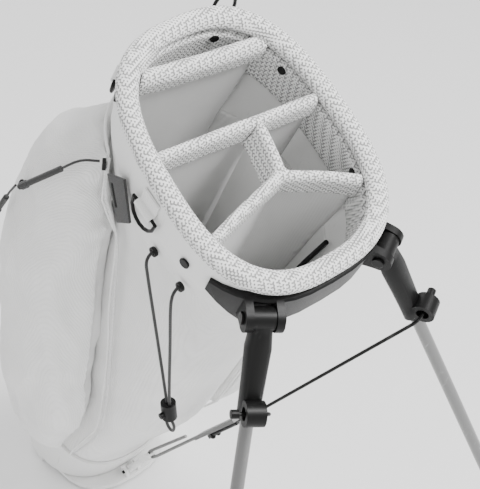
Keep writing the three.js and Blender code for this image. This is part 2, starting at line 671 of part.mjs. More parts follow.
// ---------- screws and rivets on the collar ----------
// A round head on the collar's outside, at a turn round the rim and a drop below it.
const surfaceFrame = (turn, drop, outset) => {
  const at = (angle) => {
    const p = ovalPoint(rimHalfWidth + outset, rimHalfDepth + outset, 0, rimExponent, angle)
    return v3(p.x, p.y, rimPlane(p.y) - drop)
  }
  const origin = at(turn)
  const along = at(turn + 0.02).sub(at(turn - 0.02)).setZ(0).normalize()
  const out = along.clone().cross(up).normalize()
  return { origin, along, out, matrix: basisAt(origin, along, up.clone().cross(along), up) }
}
const headOn = (turn, drop, outset, radius, thickness, inside = false) => {
  const { origin, out } = surfaceFrame(turn, drop, outset)
  const way = inside ? -1 : 1
  return rod(origin, origin.clone().addScaledVector(out, way * thickness), radius, 10)
}
const turnOf = (degrees) => (degrees * Math.PI) / 180

const outerScrews = { rear: [134, 27], front: [197, 42] }
for (const [name, [degrees, drop]] of Object.entries(outerScrews)) {
  add(`collar_screw_${name}`, headOn(turnOf(degrees), drop, collarOutset + 0.6, 6, 2.2), materials.black_plastic)
}
const innerRivets = { back: [70, 17], right: [22, 17], front: [336, 17] }
for (const [name, [degrees, drop]] of Object.entries(innerRivets)) {
  add(`cuff_rivet_${name}`, headOn(turnOf(degrees), drop, -rollRadius - 0.6, 5, 1.8, true), materials.black_plastic)
}
// ---------- pockets ----------
// A padded pocket: it follows the outside of the bag between two turns and swells to its depth in the middle.
const pocketLift = 1.5
const pocketSpot = (level, t, swollen = true) => {
  const turn = turnOf(mix(level.from, level.to, t))
  const base = outsidePoint(level.z, turn, pocketLift)
  const beside = outsidePoint(level.z, turn + 0.01, pocketLift)
  const out = v3(beside.y - base.y, base.x - beside.x, 0).normalize()
  const swell = swollen ? 2.5 + level.depth * Math.sin(Math.PI * t) ** 0.55 : 0
  return v3(base.x, base.y, level.z).addScaledVector(out, swell)
}
const pocket = (levels, across) => slabStack(levels.map((level) => {
  const steps = Array.from({ length: across + 1 }, (_, i) => i / across)
  const outerRow = steps.map((t) => pocketSpot(level, t))
  const innerRow = steps.map((t) => pocketSpot(level, 1 - t, false))
  return outerRow.concat(innerRow)
}))
const leftPocketLevels = [
  { z: 128, from: 106, to: 204, depth: 8 }, { z: 150, from: 104, to: 204, depth: 34 },
  { z: 270, from: 102, to: 203, depth: 60 }, { z: 335, from: 101, to: 196, depth: 70 },
  { z: 420, from: 101, to: 189, depth: 80 }, { z: 600, from: 101, to: 173, depth: 98 },
  { z: 690, from: 103, to: 165, depth: 84 }, { z: 750, from: 106, to: 158, depth: 56 },
  { z: 796, from: 112, to: 152, depth: 8 }
]
add('pocket_left', pocket(leftPocketLevels, 10), materials.white_fabric)
add('pocket_right_upper', pocket([
  { z: 512, from: -52, to: 40, depth: 4 }, { z: 528, from: -54, to: 42, depth: 24 },
  { z: 580, from: -55, to: 42, depth: 34 }, { z: 626, from: -52, to: 42, depth: 22 },
  { z: 640, from: -48, to: 40, depth: 3 }
], 9), materials.white_fabric)
add('pocket_right_lower', pocket([
  { z: 262, from: -56, to: 58, depth: 4 }, { z: 285, from: -60, to: 60, depth: 34 },
  { z: 335, from: -61, to: 61, depth: 44 }, { z: 390, from: -62, to: 62, depth: 48 },
  { z: 470, from: -60, to: 60, depth: 38 }, { z: 498, from: -56, to: 56, depth: 4 }
], 10), materials.white_fabric)

// ---------- webbing tabs and rings on the collar ----------
// The tab's sleeve holds the straight side of a D-shaped ring; the ring turns in it.
const sleeveRadius = 4.6
const ringPath = (half, reach) => {
  const path = [[-half, 0], [-half + 5, 0], [half - 5, 0], [half, 0]]
  for (let i = 1; i < 8; i++) {
    const turn = (Math.PI * i) / 8
    path.push([half * Math.cos(turn), 4 + (reach - 4) * Math.sin(turn)])
  }
  return path
}
const tabAndRing = (name, { degrees, drop, half, tabHalf, tabDrop, reach, open, standoff = 0 }) => {
  const { origin, along, out } = surfaceFrame(turnOf(degrees), drop, collarOutset + 0.4)
  const axisPoint = origin.clone().addScaledVector(out, sleeveRadius + 0.2 + standoff)
  const tilt = new THREE.Matrix4().makeRotationX(turnOf(open))
  const frame = basisAt(axisPoint, along, out.clone().negate(), up)
  const ringMatrix = frame.clone().multiply(tilt)
  const hole = placed(alongX(tabHalf + 5, ringWire + 0.5, 0, 0, 10), frame)
  const roll = placed(alongX(tabHalf, sleeveRadius, 0, 0, 12), frame)
  const strip = placed(slab(2 * tabHalf, 2.4 + standoff, Math.abs(tabDrop), 0, sleeveRadius - 1.2 + standoff / 2,
    tabDrop / 2), frame)
  add(`${name}_tab`, cut(join(roll, strip), hole), materials.white_fabric)
  const path = ringPath(half, reach).map(([x, down]) => v3(x, 0, -down))
  add(name, placed(hoop(path, v3(0, 1, 0), ringWire, 8), ringMatrix), materials.black_metal)
}
tabAndRing('ring_left', { degrees: 179.4, drop: 42, half: 19, tabHalf: 12.5, tabDrop: 22, reach: 26, open: 0 })
tabAndRing('ring_rear_left', { degrees: 121, drop: 26, half: 14, tabHalf: 9, tabDrop: 11, reach: 22, open: 0 })
tabAndRing('ring_back', {
  degrees: 64, drop: 16, half: 11, tabHalf: 5, tabDrop: -20, reach: 44, open: 180, standoff: 5
})

// ---------- zipper, sliders and pulls of the left pocket ----------
const trackSpots = leftPocketLevels.slice(1).reverse().map((level) => {
  const turn = turnOf(level.to + 3.5)
  const p = outsidePoint(level.z, turn, pocketLift + 2.2)
  return v3(p.x, p.y, level.z)
})
add('zipper_track', sweep(trackSpots, 1.7, 8, 24), materials.zipper)
const zipTop = trackSpots[0]
const zipDown = trackSpots[1].clone().sub(zipTop).normalize()
const zipSide = zipDown.clone().cross(v3(zipTop.x, zipTop.y, 0).normalize()).normalize()
const zipOut = zipSide.clone().cross(zipDown)
const topSlider = new THREE.BoxGeometry(7, 4, 11)
const sliderSpot = zipTop.clone().addScaledVector(zipOut, 4.4).addScaledVector(zipDown, 8)
add('zip_slider_top', placed(topSlider, basisAt(sliderSpot, zipSide, zipOut, zipDown.clone().negate())),
  materials.black_metal)

// A pull: a coated cord loop that ends in a ribbed grip, stiff enough to turn as one piece.
const pullSolid = (from, bend, gripStart, to) => {
  const cord = sweep([from, bend, gripStart.clone().lerp(to, 0.2)], 1.4, 8, 8)
  const grip = rod(gripStart, to, 3.4, 10)
  const along = to.clone().sub(gripStart).normalize()
  const bar = rod(to.clone().addScaledVector(along, -1), to.clone().addScaledVector(along, 6), 4.4, 10)
  return join(cord, grip, bar)
}
const pullFrom = sliderSpot.clone().addScaledVector(zipOut, 4.5).addScaledVector(zipDown, -4)
const pullTopSpots = [pullFrom, v3(-127, 92, 786), v3(-141, 101, 768), v3(-168, 116, 736)]
add('zip_pull_top', pullSolid(...pullTopSpots), materials.black_cord)
const faceLevel = leftPocketLevels[6]
const faceSpot = pocketSpot(faceLevel, 0.62)
const faceOut = v3(faceSpot.x + 60, faceSpot.y, 0).normalize()
const faceAt = (out, dz) => faceSpot.clone().addScaledVector(faceOut, out).add(v3(0, 0, dz))
add('zip_slider_side', rod(faceAt(5.5, 8), faceAt(6.5, -4), 3.4, 8), materials.black_metal)
add('zip_pull_side', pullSolid(faceAt(11.5, -4), faceAt(16, -22), faceAt(18, -34), faceAt(24, -66)), materials.black_cord)

// ---------- carry handle end on the collar ----------
const handleOutline = [[64, 794], [42, 815], [16, 769], [31, 747]]
const handleSlot = [[56, 789], [53, 792], [37, 768], [40, 765]]
const handleMatrix = basisAt(v3(-115, 0, 0), v3(0, 1, 0), up, v3(1, 0, 0))
add('side_handle', placed(cut(plateOf(handleOutline, 3), plateOf(handleSlot, 10)), handleMatrix),
  materials.black_webbing)

// ---------- draw cord with its lock ----------
// World directions seen from the leaning bag: ahead is towards the legs, fall is straight down.
const ahead = v3(0, -Math.cos(lean), Math.sin(lean))
const fall = worldUp.clone().negate()
const cordRadius = 1.75
const eyelets = { upper: v3(-109.6, -20, 764), lower: v3(-107.6, -64, 762) }
for (const [name, centre] of Object.entries(eyelets)) {
  const back = centre.clone().add(v3(1.6, 0, 0))
  const front = centre.clone().add(v3(-2.4, 0, 0))
  const bore = rod(centre.clone().add(v3(10, 0, 0)), centre.clone().add(v3(-10, 0, 0)), cordRadius + 0.9, 12)
  add(`cord_eyelet_${name}`, cut(rod(back, front, 5.5, 14), bore), materials.black_plastic)
}
const cordSpot = (out, forward, down) => eyelets.upper.clone().add(v3(-out, 0, 0)).addScaledVector(ahead, forward)
  .addScaledVector(fall, down)
const lowerOffset = eyelets.lower.clone().sub(eyelets.upper)
const lowerAhead = lowerOffset.dot(ahead)
const lowerFall = lowerOffset.dot(fall)
const strand = 3
const lockForward = 12
const lockDown = 196
const lockOut = 9
const lockLength = 22
const lockEnd = lockDown + lockLength
add('draw_cord', sweep([
  cordSpot(-1, 0, 0), cordSpot(5, 0, 1), cordSpot(10.5, 0.5, 8), cordSpot(11, 1, 26), cordSpot(10, 4, 90),
  cordSpot(9, lockForward - strand - 2, lockDown - 40), cordSpot(lockOut, lockForward - strand, lockDown - 6),
  cordSpot(lockOut, lockForward - strand, lockDown + 11), cordSpot(lockOut, lockForward - strand, lockEnd + 1),
  cordSpot(lockOut, lockForward - 7, lockEnd + 9),
  cordSpot(lockOut, lockForward - 5, lockEnd + 17), cordSpot(lockOut, lockForward, lockEnd + 20),
  cordSpot(lockOut, lockForward + 5, lockEnd + 17), cordSpot(lockOut, lockForward + 7, lockEnd + 9),
  cordSpot(lockOut, lockForward + strand, lockEnd + 1), cordSpot(lockOut, lockForward + strand, lockDown + 11),
  cordSpot(lockOut, lockForward + strand, lockDown - 6),
  cordSpot(9, lockForward + strand + 4, lockDown - 40), cordSpot(10, 28, 100),
  cordSpot(11, lowerAhead - 2, lowerFall + 26), cordSpot(10.5 - 1.5, lowerAhead, lowerFall + 8),
  cordSpot(3.5, lowerAhead, lowerFall + 1), cordSpot(-2.5, lowerAhead, lowerFall)
], cordRadius, 8, 78), materials.black_cord)
const lockTop = cordSpot(lockOut, lockForward, lockDown)
const lockBottom = cordSpot(lockOut, lockForward, lockEnd)
const lockBores = [-strand, strand].map((s) => rod(cordSpot(lockOut, lockForward + s, lockDown - 5),
  cordSpot(lockOut, lockForward + s, lockEnd + 5), cordRadius + 0.9, 12))
const buttonAt = (out) => cordSpot(lockOut + out, lockForward, lockDown + 14)
const lockBarrel = rod(lockTop, lockBottom, 8.6, 16)
add('cord_lock', cut(lockBarrel, ...lockBores, rod(buttonAt(3.2), buttonAt(20), 4, 12)), materials.black_plastic)
add('cord_lock_button', rod(buttonAt(6), buttonAt(12), 3.6, 12), materials.black_plastic)

// ---------- stand it on the ground ----------
bag.rotation.x = lean
bag.updateMatrixWorld(true)
const box = new THREE.Box3().setFromObject(bag, true)
bag.position.set(-(box.min.x + box.max.x) / 2, -(box.min.y + box.max.y) / 2, -box.min.z)

export default bag
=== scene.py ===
"""A leaning golf stand bag on its two legs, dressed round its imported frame.

Everything is in metres in the row frame.  The bag leans 28 degrees, so bag_place and bag_view carry points
between the leaning bag's own axes (X right, Y to the back, Z up along the bag) and the row frame.
"""
import json
import math

import bmesh
import bpy
import numpy as np
from mathutils import Matrix, Vector


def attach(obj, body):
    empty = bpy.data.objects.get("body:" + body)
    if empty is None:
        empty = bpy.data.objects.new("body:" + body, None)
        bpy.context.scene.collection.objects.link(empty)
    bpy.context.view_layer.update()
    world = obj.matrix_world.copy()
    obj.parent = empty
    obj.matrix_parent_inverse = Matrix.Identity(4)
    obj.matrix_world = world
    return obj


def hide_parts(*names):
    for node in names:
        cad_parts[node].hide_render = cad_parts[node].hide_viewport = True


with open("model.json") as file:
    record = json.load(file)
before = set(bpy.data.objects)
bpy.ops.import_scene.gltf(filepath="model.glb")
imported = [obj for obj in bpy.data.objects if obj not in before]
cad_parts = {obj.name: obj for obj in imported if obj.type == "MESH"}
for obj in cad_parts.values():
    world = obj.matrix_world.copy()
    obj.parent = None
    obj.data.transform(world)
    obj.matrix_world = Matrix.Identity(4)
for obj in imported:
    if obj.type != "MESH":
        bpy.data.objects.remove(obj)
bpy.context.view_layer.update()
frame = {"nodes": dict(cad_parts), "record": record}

scene = bpy.context.scene
MM = 0.001
LEAN = math.radians(28)
HINGE_IN_BAG = np.array([0, 29, 6]) * MM     # the foot plate's hinge in the bag's own axes


# ---------- the leaning bag's own axes ----------
def lean_matrix():
    """Turn by the lean about X, then a shift that puts the foot plate's hinge on its joint."""
    turn = np.array([[1, 0, 0], [0, math.cos(LEAN), -math.sin(LEAN)], [0, math.sin(LEAN), math.cos(LEAN)]])
    joints = {joint["name"]: joint for joint in frame["record"]["behaviour"]["joints"]}
    return turn, np.array(joints["foot_plate_hinge"]["pos_m"]) - turn @ HINGE_IN_BAG


TURN, SHIFT = lean_matrix()


def bag_place(points):
    return np.asarray(points) @ TURN.T + SHIFT


def bag_view(points):
    return (np.asarray(points) - SHIFT) @ TURN


# ---------- shader node groups ----------
def socket_group(name, inputs, outputs):
    """An empty node group with named sockets: inputs are (name, kind, default), outputs (name, kind)."""
    tree = bpy.data.node_groups.new(name, "ShaderNodeTree")
    for label, kind, default in inputs:
        made = tree.interface.new_socket(label, in_out="INPUT", socket_type=kind)
        if default is not None:
            made.default_value = default
    for label, kind in outputs:
        tree.interface.new_socket(label, in_out="OUTPUT", socket_type=kind)
    return tree, tree.nodes.new("NodeGroupInput"), tree.nodes.new("NodeGroupOutput")


def wire(tree, kind, sources=(), **settings):
    """A node with its inputs from sources, a sequence or a dict: a socket is linked and a number is set."""
    node = tree.nodes.new(kind)
    for key, value in settings.items():
        setattr(node, key, value)
    for place, source in dict(enumerate(sources) if not isinstance(sources, dict) else sources).items():
        if source is None:
            continue
        if isinstance(source, bpy.types.NodeSocket):
            tree.links.new(source, node.inputs[place])
        else:
            node.inputs[place].default_value = source
    return node


def maths(tree, operation, *sources):
    return wire(tree, "ShaderNodeMath", sources, operation=operation).outputs[0]


def ribbed_weave():
    """Fine ribs across X crossed by thread steps along Z: height is |sin| of one times a little of the other,
    and a slow noise gives the cloth its uneven tone."""
    tree, given, out = socket_group(
        "ribbed_weave",
        [("Vector", "NodeSocketVector", None), ("Pitch", "NodeSocketFloat", 0.002)],
        [("Height", "NodeSocketFloat"), ("Tone", "NodeSocketFloat")])
    axes = wire(tree, "ShaderNodeSeparateXYZ", [given.outputs["Vector"]])
    turns = maths(tree, "DIVIDE", math.pi, given.outputs["Pitch"])
    around = maths(tree, "ADD", axes.outputs["X"], axes.outputs["Y"])
    rib = maths(tree, "ABSOLUTE", maths(tree, "SINE", maths(tree, "MULTIPLY", around, turns)))
    thread = maths(tree, "ABSOLUTE", maths(tree, "SINE", maths(tree, "MULTIPLY", axes.outputs["Z"], turns)))
    height = maths(tree, "MULTIPLY_ADD", thread, 0.6, rib)
    vector = given.outputs["Vector"]
    noise = wire(tree, "ShaderNodeTexNoise", {"Vector": vector, "Scale": 14.0, "Detail": 4.0})
    tree.links.new(height, out.inputs["Height"])
    tree.links.new(noise.outputs["Fac"], out.inputs["Tone"])
    return tree


def air_mesh():
    """Knitted spacer mesh: small holes in staggered rows, where the sum of sin x cos y, sin y cos z and
    sin z cos x is high, a lattice that shows rows of holes on a face of any direction."""
    tree, given, out = socket_group(
        "air_mesh",
        [("Vector", "NodeSocketVector", None), ("Pitch", "NodeSocketFloat", 0.004)],
        [("Hole", "NodeSocketFloat"), ("Height", "NodeSocketFloat")])
    turns = maths(tree, "DIVIDE", 2 * math.pi, given.outputs["Pitch"])
    scaled = wire(tree, "ShaderNodeVectorMath", [given.outputs["Vector"]], operation="SCALE")
    tree.links.new(turns, scaled.inputs["Scale"])
    axes = wire(tree, "ShaderNodeSeparateXYZ", [scaled.outputs[0]]).outputs
    waves = [maths(tree, "MULTIPLY", maths(tree, "SINE", axes[one]), maths(tree, "COSINE", axes[other]))
             for one, other in (("X", "Y"), ("Y", "Z"), ("Z", "X"))]
    lattice = maths(tree, "ADD", maths(tree, "ADD", waves[0], waves[1]), waves[2])
    edge = wire(tree, "ShaderNodeMapRange", {"Value": lattice, "From Min": 1.15, "From Max": -0.1})
    # Hole is the mask that meshed uses to paint shade into the holes
    hole = maths(tree, "SUBTRACT", 1.0, edge.outputs[0])
    tree.links.new(hole, out.inputs["Hole"])
    tree.links.new(edge.outputs[0], out.inputs["Height"])
    return tree


def worn_grain():
    """Moulded or painted grain: a fine noise for height, and long scuffs where a stretched noise peaks."""
    tree, given, out = socket_group(
        "worn_grain",
        [("Vector", "NodeSocketVector", None), ("Grain", "NodeSocketFloat", 900.0),
         ("Scuffs", "NodeSocketFloat", 0.62)],
        [("Height", "NodeSocketFloat"), ("Scuff", "NodeSocketFloat"), ("Tone", "NodeSocketFloat")])
    vector = given.outputs["Vector"]
    fine = wire(tree, "ShaderNodeTexNoise", {"Vector": vector, "Scale": given.outputs["Grain"],
                                            "Detail": 3.0})
    slow = wire(tree, "ShaderNodeTexNoise", {"Vector": vector, "Scale": 22.0, "Detail": 5.0})
    stretched = wire(tree, "ShaderNodeMapping", {"Vector": vector, "Scale": (1.0, 1.0, 0.15)})
    lines = wire(tree, "ShaderNodeTexNoise", {"Vector": stretched.outputs[0], "Scale": 160.0, "Detail": 6.0,
                                             "Distortion": 0.6})
    high = wire(tree, "ShaderNodeMapRange", {"Value": lines.outputs["Fac"], "From Max": 0.82,
                                            "From Min": given.outputs["Scuffs"]})
    tree.links.new(fine.outputs["Fac"], out.inputs["Height"])
    tree.links.new(high.outputs[0], out.inputs["Scuff"])
    tree.links.new(slow.outputs["Fac"], out.inputs["Tone"])
    return tree


RIBBED, MESHED, WORN = ribbed_weave(), air_mesh(), worn_grain()


def blank_material(name, roughness, metallic=0.0, **shader):
    """A material with a Principled shader and the leaning bag's axes as its pattern space."""
    made = bpy.data.materials.new(name)
    made.use_nodes = True
    tree = made.node_tree
    principled = tree.nodes["Principled BSDF"]
    principled.inputs["Roughness"].default_value = roughness
    principled.inputs["Metallic"].default_value = metallic
    for key, value in shader.items():
        principled.inputs[key.replace("_", " ")].default_value = value
    place = wire(tree, "ShaderNodeTexCoord").outputs["Object"]
    turned = wire(tree, "ShaderNodeMapping", {"Vector": place, "Rotation": (-LEAN, 0.0, 0.0)})
    return made, tree, principled, turned.outputs[0]


def tint(tree, low, high, factor):
    mix = wire(tree, "ShaderNodeMix", data_type="RGBA")
    mix.inputs[6].default_value = (*low, 1)
    mix.inputs[7].default_value = (*high, 1)
    tree.links.new(factor, mix.inputs[0])
    return mix.outputs[2]


def bump(tree, principled, height, strength, distance):
    node = wire(tree, "ShaderNodeBump", {"Height": height, "Strength": strength, "Distance": distance})
    tree.links.new(node.outputs[0], principled.inputs["Normal"])


def woven(name, low, high, pitch, roughness, depth, strength=0.6):
    """Woven cloth: ribbed weave in height, and a colour between two colours from the slow tone and the ribs,
    whose grooves are painted darker as painted shade.
    """
    made, tree, principled, place = blank_material(name, roughness, Sheen_Weight=0.25, Sheen_Roughness=0.5)
    cloth = wire(tree, "ShaderNodeGroup", node_tree=RIBBED)
    tree.links.new(place, cloth.inputs["Vector"])
    cloth.inputs["Pitch"].default_value = pitch
    # colour: rib crests lighter and grooves darker is painted shade; the slow noise is the cloth's own uneven
    # tone
    groove_shade_and_tone = maths(tree, "MULTIPLY_ADD", cloth.outputs["Height"], 0.28, maths(
        tree, "MULTIPLY", cloth.outputs["Tone"], 0.8))
    tree.links.new(tint(tree, low, high, groove_shade_and_tone), principled.inputs["Base Color"])
    bump(tree, principled, cloth.outputs["Height"], strength, depth)
    return made


def meshed(name, low, high, pitch, depth):
    """Air mesh over foam: the holes are painted darker, as painted shade, and lie deeper."""
    made, tree, principled, place = blank_material(name, 0.92, Sheen_Weight=0.2)
    diagonal = wire(tree, "ShaderNodeMapping", {"Vector": place, "Rotation": (0.4, math.pi / 4, 0.3)})
    knit = wire(tree, "ShaderNodeGroup", node_tree=MESHED)
    tree.links.new(diagonal.outputs[0], knit.inputs["Vector"])
    knit.inputs["Pitch"].default_value = pitch
    # the holes take the first, darker colour: painted shade in the holes, not the mesh's own colour
    tree.links.new(tint(tree, high, low, knit.outputs["Hole"]), principled.inputs["Base Color"])
    bump(tree, principled, knit.outputs["Height"], 0.8, depth)
    return made


def moulded(name, low, high, roughness, metallic=0.0, grain=900.0, strength=0.12, scuffs=0.62, **shader):
    """Moulded, painted or coated surface: fine grain, uneven gloss and a few scuffs of the second colour."""
    made, tree, principled, place = blank_material(name, roughness, metallic, **shader)
    wear = wire(tree, "ShaderNodeGroup", node_tree=WORN)
    tree.links.new(place, wear.inputs["Vector"])
    wear.inputs["Grain"].default_value = grain
    wear.inputs["Scuffs"].default_value = scuffs
    tree.links.new(tint(tree, low, high, wear.outputs["Scuff"]), principled.inputs["Base Color"])
    gloss = maths(tree, "MULTIPLY_ADD", wear.outputs["Tone"], 0.16, roughness - 0.08)
    tree.links.new(gloss, principled.inputs["Roughness"])
    bump(tree, principled, wear.outputs["Height"], strength, 0.0004)
    return made


def grey(value):
    return (value, value, value * 0.99)


MATERIALS = {
    "white_fabric": woven("white_ribbed_cloth", grey(0.72), grey(0.90), 0.0022, 0.82, 0.0006),
    # grey(0.30) is the painted shade in the air mesh's holes
    "mesh_knit": meshed("white_air_mesh", grey(0.30), grey(0.88), 0.0042, 0.0014),
    "lining": woven("grey_lining", grey(0.62), grey(0.78), 0.0012, 0.88, 0.0002, 0.3),
    "white_moulded": moulded("white_moulded_plastic", grey(0.84), grey(0.66), 0.5),
    "black_plastic": moulded("black_nylon", grey(0.006), grey(0.03), 0.40, grain=1400.0, strength=0.25,
                              Specular_IOR_Level=0.18),
    "black_webbing": woven("black_webbing", grey(0.008), grey(0.03), 0.0015, 0.85, 0.0005),
    "black_metal": moulded("black_steel", grey(0.008), grey(0.06), 0.32, 0.3, strength=0.06,
                           Specular_IOR_Level=0.2),
    "grey_tube": moulded("grey_metallic_tube", grey(0.17), grey(0.30), 0.3, 0.75, strength=0.05,
                         Coat_Weight=0.4),
    "grey_bar": moulded("grey_coated_bar", grey(0.13), grey(0.26), 0.4, 0.5, strength=0.08),
    "rubber": moulded("black_rubber", grey(0.008), grey(0.05), 0.85, grain=500.0, strength=0.35, scuffs=0.55),
    "black_cord": woven("braided_black_cord", grey(0.006), grey(0.03), 0.0011, 0.7, 0.0004),
    "zipper": woven("white_zipper", grey(0.55), grey(0.82), 0.0016, 0.5, 0.0008),
}
SLOT_OF = {row["node"]: row["material_slot"] for row in frame["record"]["subparts"]}
BODY_OF = {node: body for body, nodes in frame["record"]["behaviour"]["bodies"].items() for node in nodes}


# ---------- meshes ----------
def dress(piece, slot, body):
    piece.data.materials.clear()
    piece.data.materials.append(MATERIALS[slot])
    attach(piece, body)
    return piece


def smooth(piece, degrees=40):
    for face in piece.data.polygons:
        face.use_smooth = True
    bpy.context.view_layer.objects.active = piece
    for other in bpy.context.selected_objects:
        other.select_set(False)
    piece.select_set(True)
    bpy.ops.object.shade_smooth_by_angle(angle=math.radians(degrees))
    return piece


def grid_piece(name, rows, close_rows=True, close_columns=True):
    """A quad surface through rows of points: rows has shape (rows, columns, 3) in the row frame."""
    count, across = rows.shape[:2]
    r, c = np.meshgrid(np.arange(count if close_rows else count - 1),
                       np.arange(across if close_columns else across - 1), indexing="ij")
    r2, c2 = (r + 1) % count, (c + 1) % across
    faces = np.stack([r * across + c, r * across + c2, r2 * across + c2, r2 * across + c], -1).reshape(-1, 4)
    mesh = bpy.data.meshes.new(name)
    mesh.from_pydata(rows.reshape(-1, 3).tolist(), [], faces.tolist())
    shape = bmesh.new()
    shape.from_mesh(mesh)
    bmesh.ops.recalc_face_normals(shape, faces=shape.faces)
    shape.to_mesh(mesh)
    shape.free()
    mesh.polygons.foreach_set("use_smooth", np.ones(len(mesh.polygons), bool))
    piece = bpy.data.objects.new(name, mesh)
    scene.collection.objects.link(piece)
    return piece


def merged_copy(name, *nodes):
    """One mesh of the nodes' solids with shared corners merged."""
    shape = bmesh.new()
    for node in nodes:
        shape.from_mesh(frame["nodes"][node].data)
    bmesh.ops.remove_doubles(shape, verts=shape.verts, dist=1e-5)
    mesh = bpy.data.meshes.new(name)
    shape.to_mesh(mesh)
    shape.free()
    piece = bpy.data.objects.new(name, mesh)
    scene.collection.objects.link(piece)
    return piece


def vertices_of(mesh):
    points = np.empty(len(mesh.vertices) * 3)
    mesh.vertices.foreach_get("co", points)
    return points.reshape(-1, 3)


def put_vertices(mesh, points):
    mesh.vertices.foreach_set("co", np.ascontiguousarray(points).ravel())
    mesh.update()


def hard_piece(node, edge=0.0006, degrees=35):
    """A rigid part as the frame has it, with merged corners, small rounded edges and smooth curves."""
    piece = merged_copy(node + "_finish", node)
    shape = bmesh.new()
    shape.from_mesh(piece.data)
    bmesh.ops.dissolve_limit(shape, angle_limit=math.radians(1.5), verts=shape.verts, edges=shape.edges)
    shape.to_mesh(piece.data)
    shape.free()
    if edge:
        bevel = piece.modifiers.new("rounded_edges", "BEVEL")
        bevel.width = edge
        bevel.segments = 2
        bevel.limit_method = "ANGLE"
        bevel.angle_limit = math.radians(50)
        bevel.use_clamp_overlap = True
    smooth(piece, degrees)
    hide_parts(node)
    return dress(piece, SLOT_OF[node], BODY_OF[node])


# ---------- cloth ----------
def folds(points, seed, scale, along=(1.0, 1.0, 1.0), count=7):
    """Soft folds from a sum of sine waves in random directions, each bent by the one before it: -1 to 1."""
    random = np.random.default_rng(seed)
    spots = points * np.array(along) / scale
    total = np.zeros(len(points))
    bend = np.zeros(len(points))
    weight = 0.0
    for step in range(count):
        direction = random.normal(size=3)
        direction *= (0.7 + 0.35 * step) / np.linalg.norm(direction)
        strength = 1 / (1 + 0.6 * step)
        bend = np.sin(spots @ direction * 2 * math.pi + random.uniform(0, 6.28) + 1.1 * bend)
        total += strength * (1 - 2 * np.abs(bend)) if step % 2 else strength * bend
        weight += strength
    return total / weight


def remeshed(piece, voxel):
    modifier = piece.modifiers.new("even_faces", "REMESH")
    modifier.mode = "VOXEL"
    modifier.voxel_size = voxel
    return applied(piece)


def applied(piece):
    """The piece's mesh with every modifier worked in and taken off."""
    graph = bpy.context.evaluated_depsgraph_get()
    mesh = bpy.data.meshes.new_from_object(piece.evaluated_get(graph))
    piece.modifiers.clear()
    piece.data = mesh
    return piece


def inflated(piece, pressure, cap):
    """Cloth blown up a little from inside for twenty frames; no point moves further than cap."""
    start = vertices_of(piece.data)
    cloth = piece.modifiers.new("cloth", "CLOTH")
    cloth.settings.use_pressure = True
    cloth.settings.uniform_pressure_force = pressure
    cloth.settings.effector_weights.gravity = 0
    cloth.settings.quality = 4
    cloth.settings.tension_stiffness = 18
    cloth.settings.compression_stiffness = 4
    cloth.settings.bending_stiffness = 0.4
    for step in range(1, 21):
        scene.frame_set(step)
    applied(piece)
    scene.frame_set(1)
    moved = vertices_of(piece.data) - start
    far = np.linalg.norm(moved, axis=1, keepdims=True)
    put_vertices(piece.data, start + moved * np.minimum(1, cap / np.maximum(far, 1e-9)))
    return piece


def normals_of(mesh):
    out = np.empty(len(mesh.vertices) * 3)
    mesh.vertices.foreach_get("normal", out)
    return out.reshape(-1, 3)


def creased(piece, seed, scale, depth, along):
    """Folds pushed along the normals, in the leaning bag's axes; along stretches them."""
    mesh = piece.data
    points = vertices_of(mesh)
    height = folds(bag_view(points), seed, scale, along)
    put_vertices(mesh, points + normals_of(mesh) * (height * depth)[:, None])
    return piece


def soft_pocket(node, seed, voxel, depth, cap):
    """A filled pocket: an even mesh, slightly shrunk, blown up as cloth, with long soft folds."""
    piece = remeshed(merged_copy(node + "_cloth", node), voxel)
    ease = piece.modifiers.new("ease", "SMOOTH")
    ease.iterations = 10
    ease.factor = 0.5
    applied(piece)
    put_vertices(piece.data, vertices_of(piece.data) - normals_of(piece.data) * cap * 0.2)
    inflated(piece, 4.0, cap)
    relax = piece.modifiers.new("relax", "SMOOTH")
    relax.iterations = 6
    relax.factor = 0.5
    applied(piece)
    creased(piece, seed, 0.16, depth, (1.0, 1.0, 0.45))
    creased(piece, seed + 1, 0.06, depth * 0.25, (1.0, 1.0, 0.6))
    finer = piece.modifiers.new("finer", "SUBSURF")
    finer.levels = finer.render_levels = 1
    piece.data.polygons.foreach_set("use_smooth", np.ones(len(piece.data.polygons), bool))
    dress(piece, SLOT_OF[node], "bag")
    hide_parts(node)
    return piece


# ---------- the camera, and the cord ----------
RIM = bag_place([0, 0, 855 * MM])


def add_camera():
    """A long lens from the left, ahead of the legs, looking down into the mouth."""
    azimuth, elevation, distance = math.radians(-38.41), math.radians(34.8), 1.3492
    back = Vector((math.sin(azimuth) * math.cos(elevation), -math.cos(azimuth) * math.cos(elevation),
                   math.sin(elevation)))
    look = (Matrix.Rotation(math.radians(-37.53), 4, "Z") @ Matrix.Rotation(math.radians(90 - 38.9), 4, "X")
            @ Matrix.Rotation(math.radians(-2.775), 4, "Z"))
    camera = bpy.data.objects.new("camera", bpy.data.cameras.new("camera"))
    camera.matrix_world = Matrix.Translation(Vector(RIM) + back * distance) @ look
    camera.data.lens = 101.7
    camera.data.sensor_width = 36
    camera.data.clip_start = 0.05
    scene.collection.objects.link(camera)
    scene.camera = camera


add_camera()

AHEAD = np.array([0, -math.cos(LEAN), math.sin(LEAN)])
FALL = -np.array([0, math.sin(LEAN), math.cos(LEAN)])
UPPER_EYELET = np.array([-109.6, -20, 764]) * MM
LOWER_EYELET = np.array([-107.6, -64, 762]) * MM


def cord_spot(out, forward, down):
    """A point out from the upper eyelet, forward towards the legs and down, in millimetres."""
    return UPPER_EYELET + (np.array([-out, 0, 0]) + AHEAD * forward + FALL * down) * MM


